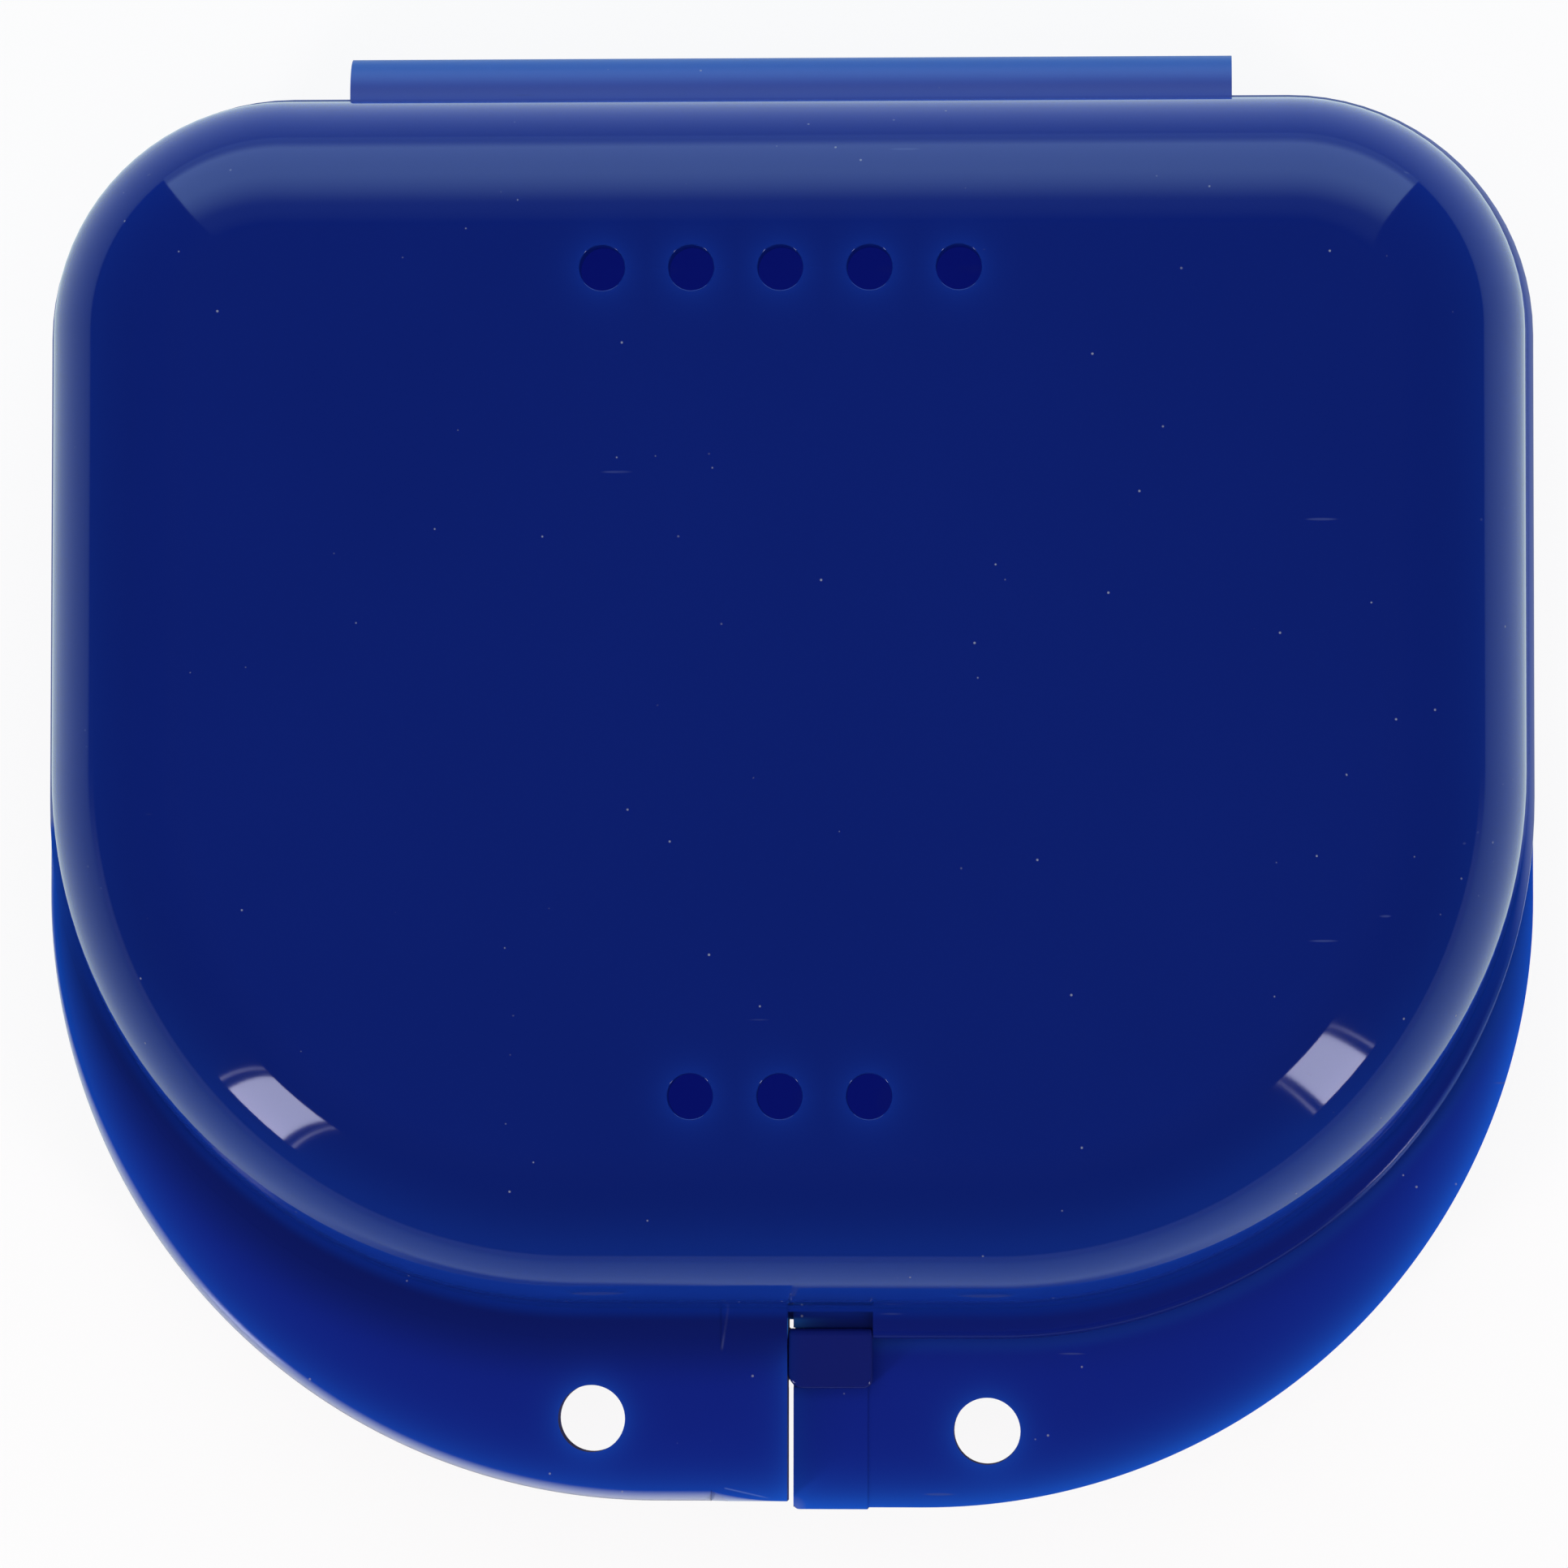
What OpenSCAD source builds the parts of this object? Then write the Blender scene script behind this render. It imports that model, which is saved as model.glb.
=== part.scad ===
// Orthodontic retainer case: two alike half shells, joined at the back by a thin folding strap.
// The origin is in the middle of the face that the closed case stands on, +Z is up,
// -Y points to the finger tabs and +Y to the hinge.
// A half is drawn with its parting plane at zero height and its crown above it.
// The lid is such a half lifted into place, and the base is one turned over about the Y axis.

/* [Shells] */
// Width of each half at the parting plane, without the rim
shell_w = 79.8; // [70:0.1:100]
// Depth of each half at the parting plane, without the rim
shell_d = 65.4; // [58:0.1:90]
// Height of each half
half_h = 13; // [11:0.5:20]
// Wall thickness
wall = 1.6; // [1.2:0.1:2.2]
// Radius of the two corners beside the hinge, seen from above
rear_corner_r = 13; // [11:0.1:18]
// Radius of the two corners beside the finger tabs, seen from above
front_corner_r = 28.8; // [22:0.1:32]
// Radius of the edge between the walls and the crown
edge_r = 8; // [5:0.1:9]
// Draft of the walls in degrees
draft = 5; // [1:0.5:6]

/* [Vents in the lid] */
// Diameter of a vent
vent_d = 2.4; // [1.5:0.1:3]
// Distance between neighbouring vents
vent_pitch = 4.7; // [4:0.1:6]
// Number of vents in the row near the hinge
rear_vents = 5; // [1:1:7]
// Number of vents in the row near the finger tabs
front_vents = 3; // [1:1:5]
// Distance of the rear row from the rear wall's foot
rear_vent_inset = 10.3; // [8.5:0.1:14]
// Distance of the front row from the front wall's foot
front_vent_inset = 11.5; // [9:0.1:16]

/* [Rims and lip] */
// Thickness of the rims and of the finger tabs
rim_t = 2; // [1.6:0.1:2.6]
// How far the rim stands out of the wall's foot at the sides
rim_side = 0.1; // [0.05:0.05:1.5]
// How far the rim stands out of the wall's foot at the back
rim_rear = 0.1; // [0.05:0.05:1.5]
// How far the rim stands out of the wall's foot at the front
rim_front = 1.45; // [1.2:0.05:2.4]
// Height of the base's locating lip above the parting plane
lip_h = 1.2; // [0.8:0.1:2]
// Thickness of the locating lip
lip_t = 0.8; // [0.6:0.1:1.2]
// Height of the lip's root on the base's wall
lip_root = 2.4; // [2:0.1:4]
// Chamfer that leads the lid over the lip
lip_lead = 0.3; // [0.1:0.05:0.4]

/* [Finger tabs] */
// Reach of the base's tab in front of the wall
base_tab_reach = 10.55; // [9.5:0.05:14]
// Reach of the lid's tab in front of the wall
lid_tab_reach = 10.15; // [9.5:0.05:14]
// Radius of the tabs' outer corners, seen from above
tab_corner_r = 32.8; // [30:0.1:34]
// How far each tab's side ends short of the rim's straight side
tab_tail = 1.6; // [1:0.1:4]
// Rounding of the edge on each tab's outer face
tab_edge_r = 0.6; // [0.2:0.05:1]
// Slit between the two tabs
slit = 0.35; // [0.3:0.05:0.6]
// Diameter of a lanyard hole
hole_d = 3.6; // [2.5:0.1:4.5]
// Distance of each lanyard hole from the middle of the case
hole_x = 10.6; // [8:0.05:16]
// Distance of the base's lanyard hole in front of the wall
base_hole_reach = 6.45; // [5.5:0.05:7]
// Distance of the lid's lanyard hole in front of the wall
lid_hole_reach = 5.75; // [5.5:0.05:7]
// Width of the thicker strip beside the slit
strip_w = 4; // [3:0.1:4.4]
// Height of that strip above the tab's parting face
strip_h = 0.12; // [0.05:0.01:0.2]
// How far that strip stands out of the base tab's front edge
strip_proud = 0.1; // [0.05:0.01:0.2]

/* [Catches] */
// Width of a catch
catch_w = 4.65; // [4.5:0.05:6]
// Depth of a catch, front to back
catch_d = 3.05; // [2.5:0.05:3.5]
// Height of a catch above the parting face that it stands on
catch_h = 2; // [1.8:0.1:2.2]
// Gap between the catch and the wall of the other half
catch_gap = 1.05; // [1:0.05:1.4]
// Rounding of the catch's outer corners, seen from above
catch_corner_r = 0.5; // [0.2:0.05:0.8]
// Overhang of the catch's nib
nib = 0.4; // [0.2:0.05:0.5]
// Chamfer that leads the nib over the ledge
nib_lead = 0.35; // [0.1:0.05:0.4]
// Thickness of the ledge that the nib holds
ledge_t = 0.7; // [0.5:0.05:0.8]
// How far each catch reaches past the middle of the slit
catch_over = 0.05; // [0:0.01:0.08]
// Half width of the open gap at the slit's inner end
slit_end = 0.2; // [0.2:0.05:0.5]

/* [Hinge strap] */
// Width of the strap
strap_w = 47.7; // [30:0.1:52]
// Thickness of the strap
strap_t = 0.5; // [0.4:0.05:0.7]
// Length of the flat leg between a rim and the bend
strap_leg = 0.4; // [0.3:0.05:3]
// Radius of the groove along each crease
crease_r = 0.15; // [0.1:0.01:0.2]

/* [Clearances] */
// Clearance between the lip and the lid's wall
lip_clear = 0.3; // [0.15:0.05:0.4]
// Clearance round a catch
catch_clear = 0.15; // [0.1:0.05:0.25]

/* [Hidden] */
$fn = 96;

// Cutting solids run this far past the faces that they cut
over = 1;
shell_blue = "#0f2374";
flange_blue = "#112a86";
strap_blue = "#3a5fb4";

// Angle at which a wall's line enters the arc of its edge
entry = 2;
// Derived lengths are kept to a micrometre, so that the pieces of a sweep meet exactly
function fine(length) = round(length * 1000) / 1000;
// Level distance from a wall's foot to the centre of its edge rounding
function edge_inset(h, e) = fine(e * cos(entry) / cos(draft) + (h - e) * tan(draft));

// Corner axes of the shell's outline
rear_cx = shell_w / 2 - rear_corner_r;
rear_cy = shell_d / 2 - rear_corner_r;
front_cx = shell_w / 2 - front_corner_r;
front_cy = front_corner_r - shell_d / 2;
// The wall's thickness measured level at its foot, because the wall leans
level_wall = edge_inset(half_h, edge_r) - edge_inset(half_h - wall, edge_r - wall);
// Outline of the rims and the tabs
flange_x = shell_w / 2 + rim_side;
front_foot = -shell_d / 2;
rim_front_y = front_foot - rim_front;
rim_rear_y = shell_d / 2 + rim_rear;
// Where a catch's nib ends, and where its front face stands
nib_y = front_foot - catch_gap;
catch_front_y = nib_y - catch_d;
// Centre of the strap's bend, radius of its middle layer and offset of the creases from the centre:
// a crease lies where the flat length of the band beside it equals the bent one
bend_y = rim_rear_y + strap_leg;
bend_r = rim_t - strap_t / 2;
crease = fine(bend_r * PI / 4);

// Section of a solid half from a corner axis outwards, r to the wall's foot.
// The wall's line enters the edge's arc at a small angle, so that the two cross at one clear point.
module wall_section(r, h, e, drop) {
  cx = r - edge_inset(h, e);
  cz = h - e;
  reach = e * cos(entry);
  polygon([
    [0, -drop], [r + fine(drop * tan(draft)), -drop],
    [cx + fine(reach * cos(draft)), cz + fine(reach * sin(draft))], [cx, cz], [cx, h], [0, h]
  ]);
  translate([cx, cz]) intersection() {
    circle(e);
    polygon([[0, 0], [2 * e, -e / 2], [2 * e, 2 * e], [0, 2 * e]]);
  }
}

// Sweeps a section round the shell's outline: child 0 at the rear corners, child 1 at the front ones
module round_corners() {
  for (side = [0, 1]) mirror([side, 0, 0]) {
    translate([rear_cx, rear_cy, 0]) rotate_extrude(angle = 90) children(0);
    translate([front_cx, front_cy, 0]) rotate([0, 0, -90]) rotate_extrude(angle = 90) children(1);
  }
}
module along_back() {
  translate([-rear_cx, rear_cy, 0]) rotate([90, 0, 90]) linear_extrude(2 * rear_cx) children();
}
module along_front() {
  translate([front_cx, front_cy, 0]) rotate([90, 0, -90]) linear_extrude(2 * front_cx) children();
}
module along_side() {
  translate([0, rear_cy, 0]) rotate([90, 0, 0]) linear_extrude(rear_cy - front_cy) children();
}

// A solid half: drafted walls, a rounded edge and a flat crown
module solid_half(inset, h, e, drop = 0) {
  rear = rear_corner_r - inset;
  front = front_corner_r - inset;
  half_w = shell_w / 2 - inset;
  round_corners() {
    wall_section(rear, h, e, drop);
    wall_section(front, h, e, drop);
  }
  along_back() wall_section(rear, h, e, drop);
  along_front() wall_section(front, h, e, drop);
  along_side() for (side = [0, 1]) mirror([side, 0]) wall_section(half_w, h, e, drop);
}

// The space inside a half
module hollow() {
  solid_half(level_wall, half_h - wall, edge_r - wall, over);
}

// The hollow half that both shells start from. Its wall stands on the rim.
module half_shell() {
  difference() {
    solid_half(0, half_h, edge_r);
    hollow();
    translate([-shell_w, -shell_d, -over]) cube([2 * shell_w, 2 * shell_d, rim_t + over]);
  }
}

// Outline with two rear and two front corner radii
module rounded_outline(half_w, front, rear, front_r, rear_r) {
  fx = half_w - front_r;
  fy = front + front_r;
  rx = half_w - rear_r;
  ry = rear - rear_r;
  for (side = [0, 1]) mirror([side, 0]) {
    polygon([[0, front], [fx, front], [fx, fy], [half_w, fy], [half_w, ry], [rx, ry], [rx, rear], [0, rear]]);
    translate([fx, fy]) intersection() {
      circle(front_r);
      translate([0, -front_r]) square(front_r);
    }
    translate([rx, ry]) intersection() {
      circle(rear_r);
      square(rear_r);
    }
  }
}
module rim_outline() {
  rounded_outline(flange_x, rim_front_y, rim_rear_y, front_corner_r, rear_corner_r + rim_rear);
}

// Room in a rim for the other half's catch: open at the slit, with a ledge beside it for the nib
module catch_room() {
  far_x = catch_w + catch_clear;
  front = rim_front_y - over;
  ledge_y = nib_y + catch_clear;
  translate([-slit_end, front, -over]) cube([2 * slit_end, front_foot - front, rim_t + 2 * over]);
  translate([0, front, -over]) cube([far_x, ledge_y - front, rim_t + 2 * over]);
  translate([0, front, ledge_t]) cube([far_x, front_foot - front, rim_t]);
}

// The ring round a half's mouth, with the foot of the wall in it
module half_rim() {
  difference() {
    linear_extrude(rim_t) rim_outline();
    hollow();
    catch_room();
  }
}

// Section of a tab from its corner axis outwards, with the edge of its outer face rounded
module tab_section() {
  in_x = tab_corner_r - tab_edge_r;
  in_z = rim_t - tab_edge_r;
  polygon([[0, 0], [tab_corner_r, 0], [tab_corner_r, in_z], [in_x, in_z], [in_x, rim_t], [0, rim_t]]);
  translate([in_x, in_z]) intersection() {
    circle(tab_edge_r);
    square(tab_edge_r);
  }
}

// One half's finger tab, at -X. The strip beside the slit has sharp edges.
module half_tab(reach, hole_reach, proud) {
  cx = flange_x - tab_corner_r;
  front = front_foot - reach;
  cy = front + tab_corner_r;
  tail_y = max(rim_front_y + front_corner_r - tab_tail, cy + tab_edge_r);
  strip_x = slit / 2 + strip_w;
  difference() {
    union() {
      translate([-cx, cy, 0]) rotate([0, 0, 180]) rotate_extrude(angle = 90) tab_section();
      translate([-strip_x, cy, 0]) rotate([90, 0, -90]) linear_extrude(cx - strip_x) tab_section();
      translate([-strip_x, front, 0]) cube([strip_w, cy - front, rim_t]);
      translate([-cx, tail_y, 0]) rotate([90, 0, 0]) linear_extrude(tail_y - cy) mirror([1, 0]) tab_section();
      translate([-strip_x, front - proud, -strip_h])
        cube([strip_w, catch_front_y - front + proud, rim_t + strip_h]);
    }
    translate([0, 0, -over]) linear_extrude(rim_t + 2 * over) rim_outline();
    translate([-hole_x, front_foot - hole_reach, -over]) cylinder(h = rim_t + 2 * over, d = hole_d);
  }
}

// One half's catch: it stands on the parting face of its own tab and reaches into the other half's rim
module half_catch() {
  back = nib_y - nib;
  face_z = -ledge_t - catch_clear;
  in_y = catch_front_y + catch_corner_r;
  intersection() {
    translate([catch_over, 0, 0]) rotate([90, 0, -90]) linear_extrude(catch_w + catch_over) polygon([
      [-catch_front_y, 0], [-catch_front_y, -catch_h], [-nib_y + nib_lead, -catch_h],
      [-nib_y, -catch_h + nib_lead], [-nib_y, face_z - nib], [-back, face_z], [-back, 0]
    ]);
    translate([0, 0, -catch_h - over]) linear_extrude(catch_h + 2 * over) union() {
      translate([-catch_w, in_y]) square([catch_w + catch_over, nib_y - in_y]);
      translate([catch_corner_r - catch_w, catch_front_y])
        square([catch_w + catch_over - 2 * catch_corner_r, catch_corner_r]);
      for (x = [catch_corner_r - catch_w, catch_over - catch_corner_r])
        translate([x, in_y]) circle(catch_corner_r);
    }
  }
}

// Part of the bent band between two angles, seen along the hinge
module band(from, to) {
  far = 2 * rim_t;
  intersection() {
    difference() {
      circle(rim_t);
      circle(rim_t - strap_t);
    }
    polygon([[0, 0], far * [cos(from), sin(from)], far * [cos((from + to) / 2), sin((from + to) / 2)] * 2,
      far * [cos(to), sin(to)]]);
  }
}
module along_hinge() {
  translate([-strap_w / 2, bend_y, 0]) rotate([90, 0, 90]) linear_extrude(strap_w) children();
}

// The end of the strap on one half: a flat leg level with the rim's outer face, and a quarter of the bend
module half_leaf() {
  along_hinge() difference() {
    union() {
      translate([-strap_leg, rim_t - strap_t]) square([strap_leg, strap_t]);
      band(45, 90);
    }
    translate([crease, crease]) circle(crease_r);
  }
}

module as_lid() {
  translate([0, 0, half_h]) children();
}
module as_base() {
  translate([0, 0, half_h]) rotate([0, 180, 0]) children();
}

module base_shell() {
  color(shell_blue) as_base() half_shell();
}
module base_rim() {
  color(flange_blue) as_base() half_rim();
}
// The lip hugs the base's wall below the parting plane and stands clear of the lid's wall above it
module base_locating_lip() {
  wall_x = -level_wall;
  out_x = wall_x - lip_clear;
  in_x = out_x - lip_t;
  section = [
    [wall_x, 0], [wall_x - fine(lip_root * tan(draft)), lip_root], [in_x, lip_root + in_x - wall_x],
    [in_x, -lip_h], [out_x - lip_lead, -lip_h], [out_x, lip_lead - lip_h], [out_x, 0]
  ];
  color(flange_blue) as_base() {
    round_corners() {
      translate([rear_corner_r, 0]) polygon(section);
      translate([front_corner_r, 0]) polygon(section);
    }
    along_back() translate([rear_corner_r, 0]) polygon(section);
    along_front() translate([front_corner_r, 0]) polygon(section);
    along_side() for (side = [0, 1]) mirror([side, 0]) translate([shell_w / 2, 0]) polygon(section);
  }
}
module base_finger_tab() {
  color(flange_blue) as_base() half_tab(base_tab_reach, base_hole_reach, strip_proud);
}
module base_catch() {
  color(flange_blue) as_base() half_catch();
}
module base_hinge_leaf() {
  color(strap_blue) as_base() half_leaf();
}
module hinge_spine() {
  color(strap_blue) as_lid() along_hinge() difference() {
    band(-45, 45);
    for (side = [-1, 1]) translate([crease, side * crease]) circle(crease_r);
  }
}
// The lid's crown has one row of vents near the hinge and one near the tabs
module lid_shell() {
  rows = [[rear_vents, shell_d / 2 - rear_vent_inset], [front_vents, front_foot + front_vent_inset]];
  color(shell_blue) as_lid() difference() {
    half_shell();
    for (row = rows, i = [0 : row[0] - 1])
      translate([(i - (row[0] - 1) / 2) * vent_pitch, row[1], half_h - wall - over])
        cylinder(h = wall + 2 * over, d = vent_d);
  }
}
module lid_rim() {
  color(flange_blue) as_lid() half_rim();
}
module lid_finger_tab() {
  color(flange_blue) as_lid() half_tab(lid_tab_reach, lid_hole_reach, 0);
}
module lid_catch() {
  color(flange_blue) as_lid() half_catch();
}
module lid_hinge_leaf() {
  color(strap_blue) as_lid() half_leaf();
}

base_shell();
base_rim();
base_locating_lip();
base_finger_tab();
base_catch();
base_hinge_leaf();
hinge_spine();
lid_shell();
lid_rim();
lid_finger_tab();
lid_catch();
lid_hinge_leaf();
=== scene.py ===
import math
import bmesh
import bpy
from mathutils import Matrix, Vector


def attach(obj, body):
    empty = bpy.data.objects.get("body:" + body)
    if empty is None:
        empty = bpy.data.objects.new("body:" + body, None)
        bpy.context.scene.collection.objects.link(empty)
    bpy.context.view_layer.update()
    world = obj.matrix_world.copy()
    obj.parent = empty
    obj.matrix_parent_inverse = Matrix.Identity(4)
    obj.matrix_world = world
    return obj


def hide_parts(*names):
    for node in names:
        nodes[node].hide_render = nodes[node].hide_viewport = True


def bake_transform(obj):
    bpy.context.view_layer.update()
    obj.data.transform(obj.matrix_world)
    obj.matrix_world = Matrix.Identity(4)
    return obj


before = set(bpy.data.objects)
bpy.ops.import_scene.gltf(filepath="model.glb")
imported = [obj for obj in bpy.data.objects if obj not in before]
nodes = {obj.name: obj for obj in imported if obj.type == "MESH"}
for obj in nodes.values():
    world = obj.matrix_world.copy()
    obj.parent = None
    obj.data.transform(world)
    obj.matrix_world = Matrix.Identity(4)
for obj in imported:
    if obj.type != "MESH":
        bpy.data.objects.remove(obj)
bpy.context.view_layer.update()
mm = 0.001  # sizes below are in millimetres, Blender works in metres
tiny = 0.001  # points this near are at one place
seam = 0.0005  # overlap of joined pieces, and the widest gap that is closed
beyond = 1  # cutters reach this far past what they cut
smoothAngle = 38  # edges flatter than this, in degrees, are shaded smooth

# the half that both the lid and the base come from, drawn at the lid's place
half = {
    "width": 79.8, "depth": 65.4, "parting": 13, "top": 26, "wall": 1.6,
    "rearCorner": 13, "frontCorner": 28.8, "edge": 8, "draft": 5,
    "rearSteps": 20, "frontSteps": 40, "edgeSteps": 28,
}
lean = math.tan(math.radians(half["draft"]))
frontFoot = -half["depth"] / 2
rearFoot = half["depth"] / 2


def deselectAll():
    if bpy.context.mode != "OBJECT":
        bpy.ops.object.mode_set(mode="OBJECT")
    bpy.ops.object.select_all(action="DESELECT")


def focus(piece):
    deselectAll()
    piece.select_set(True)
    bpy.context.view_layer.objects.active = piece


def editPiece(piece):
    focus(piece)
    bpy.ops.object.mode_set(mode="EDIT")


def leaveEdit():
    bpy.ops.object.mode_set(mode="OBJECT")


def pickVerts(piece, test):
    bpy.ops.mesh.select_mode(type="VERT")
    bpy.ops.mesh.select_all(action="DESELECT")
    form = bmesh.from_edit_mesh(piece.data)
    for v in form.verts:
        v.select_set(test(v.co / mm))
    form.select_flush_mode()
    bmesh.update_edit_mesh(piece.data)


def pickEdges(piece, test):
    bpy.ops.mesh.select_mode(type="EDGE")
    bpy.ops.mesh.select_all(action="DESELECT")
    form = bmesh.from_edit_mesh(piece.data)
    for e in form.edges:
        e.select_set(all(test(v.co / mm) for v in e.verts))
    form.select_flush_mode()
    bmesh.update_edit_mesh(piece.data)


def moveBy(x, y, z):
    bpy.ops.transform.translate(value=(x * mm, y * mm, z * mm))


# a flat sheet between two x and two y, in edit mode and all selected
def flatSheet(name, left, right, front, rear, z):
    deselectAll()
    bpy.ops.mesh.primitive_plane_add(size=1)
    piece = bpy.context.object
    piece.name = name
    bpy.ops.object.mode_set(mode="EDIT")
    bpy.ops.transform.resize(value=((right - left) * mm, (rear - front) * mm, 1))
    moveBy((left + right) / 2, (front + rear) / 2, z)
    return piece


def roundCorners(piece, test, radius, steps):
    pickVerts(piece, test)
    bpy.ops.mesh.bevel(offset=radius * mm, segments=steps, profile=0.5, affect="VERTICES")
    bpy.ops.mesh.select_all(action="SELECT")


# the shell's outline, drawn in or out by inset, as one flat face
def outlineSheet(name, inset, z, frontOut=0, sideOut=0, frontCorner=None):
    w = half["width"] / 2 - inset + sideOut
    front = frontFoot + inset - frontOut
    rear = rearFoot - inset + sideOut
    piece = flatSheet(name, -w, w, front, rear, z)
    middle = (front + rear) / 2
    roundCorners(piece, lambda p: p.y > middle, half["rearCorner"] - inset + sideOut, half["rearSteps"])
    cornerSize = frontCorner or half["frontCorner"] - inset
    roundCorners(piece, lambda p: p.y < front + tiny, cornerSize, half["frontSteps"])
    bpy.ops.mesh.select_mode(type="FACE")
    bpy.ops.mesh.select_all(action="SELECT")
    return piece


# raises the selected face by a drafted or curved step
def stepUp(inset, rise):
    bpy.ops.mesh.inset(thickness=inset * mm, depth=rise * mm, use_even_offset=True, use_boundary=True)


def closeSolid(piece):
    bpy.ops.mesh.select_mode(type="EDGE")
    bpy.ops.mesh.select_all(action="DESELECT")
    bpy.ops.mesh.select_non_manifold()
    bpy.ops.mesh.edge_face_add()
    bpy.ops.mesh.select_all(action="SELECT")
    bpy.ops.mesh.remove_doubles(threshold=seam * mm)
    bpy.ops.mesh.normals_make_consistent(inside=False)
    leaveEdit()
    return piece


def applyModifier(piece, kind, **settings):
    focus(piece)
    made = piece.modifiers.new(kind.lower(), kind)
    for key, value in settings.items():
        setattr(made, key, value)
    bpy.ops.object.modifier_apply(modifier=made.name)


def combine(piece, tool, operation="DIFFERENCE"):
    applyModifier(piece, "BOOLEAN", object=tool, operation=operation, solver="EXACT")
    bpy.data.objects.remove(tool)


def boxTool(left, right, front, rear, low, high):
    deselectAll()
    bpy.ops.mesh.primitive_cube_add(size=1)
    tool = bpy.context.object
    bpy.ops.object.mode_set(mode="EDIT")
    bpy.ops.transform.resize(value=((right - left) * mm, (rear - front) * mm, (high - low) * mm))
    moveBy((left + right) / 2, (front + rear) / 2, (low + high) / 2)
    leaveEdit()
    return tool


# round cutters at several places, modelled once and copied
def roundTool(places, diameter, low, high, steps=56):
    deselectAll()
    bpy.ops.mesh.primitive_cylinder_add(vertices=steps, radius=diameter / 2 * mm, depth=(high - low) * mm)
    tool = bpy.context.object
    bpy.ops.object.mode_set(mode="EDIT")
    at = Vector((0, 0))
    moveBy(0, 0, (low + high) / 2)
    for i, place in enumerate(places):
        step = Vector(place) - at
        if i:
            bpy.ops.mesh.duplicate()
        moveBy(step.x, step.y, 0)
        at = Vector(place)
    leaveEdit()
    return tool


# joins points that the cuts left almost at one place
def weld(piece, within, finer=10):
    editPiece(piece)
    bpy.ops.mesh.select_all(action="SELECT")
    bpy.ops.mesh.remove_doubles(threshold=within * mm)
    bpy.ops.mesh.dissolve_degenerate(threshold=within * mm / finer)
    leaveEdit()


# eases the sharp edges if asked, and lets the large flat faces rule the shading
def finishEdges(piece, ease=0, steps=3):
    if ease:
        editPiece(piece)
        bpy.ops.mesh.select_mode(type="EDGE")
        bpy.ops.mesh.select_all(action="DESELECT")
        bpy.ops.mesh.edges_select_sharp(sharpness=math.radians(smoothAngle))
        bpy.ops.mesh.bevel(offset=ease * mm, segments=steps, profile=0.5, affect="EDGES",
                           clamp_overlap=True)
        leaveEdit()
    focus(piece)
    bpy.ops.object.shade_smooth_by_angle(angle=math.radians(smoothAngle))
    applyModifier(piece, "WEIGHTED_NORMAL", mode="FACE_AREA", keep_sharp=True)


def copyPiece(piece, name):
    twin = piece.copy()
    twin.data = piece.data.copy()
    twin.name = name
    bpy.context.scene.collection.objects.link(twin)
    return twin


# turns a half's piece over about the line front to back, from the lid's place to the base's
def turnOver(piece):
    editPiece(piece)
    bpy.ops.mesh.select_all(action="SELECT")
    bpy.ops.transform.rotate(value=math.pi, orient_axis="Y", center_override=(0, 0, half["parting"] * mm))
    leaveEdit()
    return piece


# shells: a drafted wall, a quarter round edge and a flat crown, then a wall's thickness inwards
rim = {
    "height": 2, "sideOut": 0.1, "frontOut": 1.45, "edge": 0.5, "edgeSteps": 6, "tail": 1.6,
    "weld": 0.003, "flush": (0.99995, 0.99995, 0.998),
}
vents = {
    "diameter": 2.4, "pitch": 4.7, "rearRow": (5, 22.4), "frontRow": (3, -21.2),
    "below": 4, "above": 2, "edge": 0.06, "edgeSteps": 3, "near": 0.01,
}


def makeShell(name):
    footRise = rim["height"]
    shell = outlineSheet(name, footRise * lean, half["parting"] + footRise)
    edge = half["edge"]
    centreZ = half["top"] - half["parting"] - edge
    centreIn = edge / math.cos(math.radians(half["draft"])) + centreZ * lean
    last = (footRise * lean, footRise)
    for i in range(half["edgeSteps"] + 1):
        a = math.radians(half["draft"] + (90 - half["draft"]) * i / half["edgeSteps"])
        here = (centreIn - edge * math.cos(a), centreZ + edge * math.sin(a))
        stepUp(here[0] - last[0], here[1] - last[1])
        last = here
    leaveEdit()
    for place in range(2):  # one finish outside, one inside
        shell.data.materials.append(None)
    applyModifier(shell, "SOLIDIFY", thickness=half["wall"] * mm, offset=-1, use_even_offset=True,
                  use_quality_normals=True, material_offset=1)
    editPiece(shell)
    foot = half["parting"] + footRise
    pickVerts(shell, lambda p: p.z < foot + tiny)
    bpy.ops.transform.resize(value=(1, 1, 0), center_override=(0, 0, foot * mm))
    leaveEdit()
    return shell


lidShell = makeShell("lidShell")
baseShell = turnOver(copyPiece(lidShell, "baseShell"))
ventPlaces = []
for count, rowY in (vents["rearRow"], vents["frontRow"]):
    ventPlaces += [((i - (count - 1) / 2) * vents["pitch"], rowY) for i in range(count)]
ventLow = half["top"] - vents["below"]
combine(lidShell, roundTool(ventPlaces, vents["diameter"], ventLow, half["top"] + vents["above"]))


def onVentEdge(p):
    if abs(p.z - half["top"]) > tiny:
        return False
    radius = vents["diameter"] / 2
    return any(abs(math.hypot(p.x - x, p.y - y) - radius) < vents["near"] for x, y in ventPlaces)


editPiece(lidShell)
pickEdges(lidShell, onVentEdge)
bpy.ops.mesh.bevel(offset=vents["edge"] * mm, segments=vents["edgeSteps"], profile=0.5, affect="EDGES")
leaveEdit()
for shell in (lidShell, baseShell):
    finishEdges(shell)
print("shells made:", len(lidShell.data.polygons), "and", len(baseShell.data.polygons), "faces")

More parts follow.
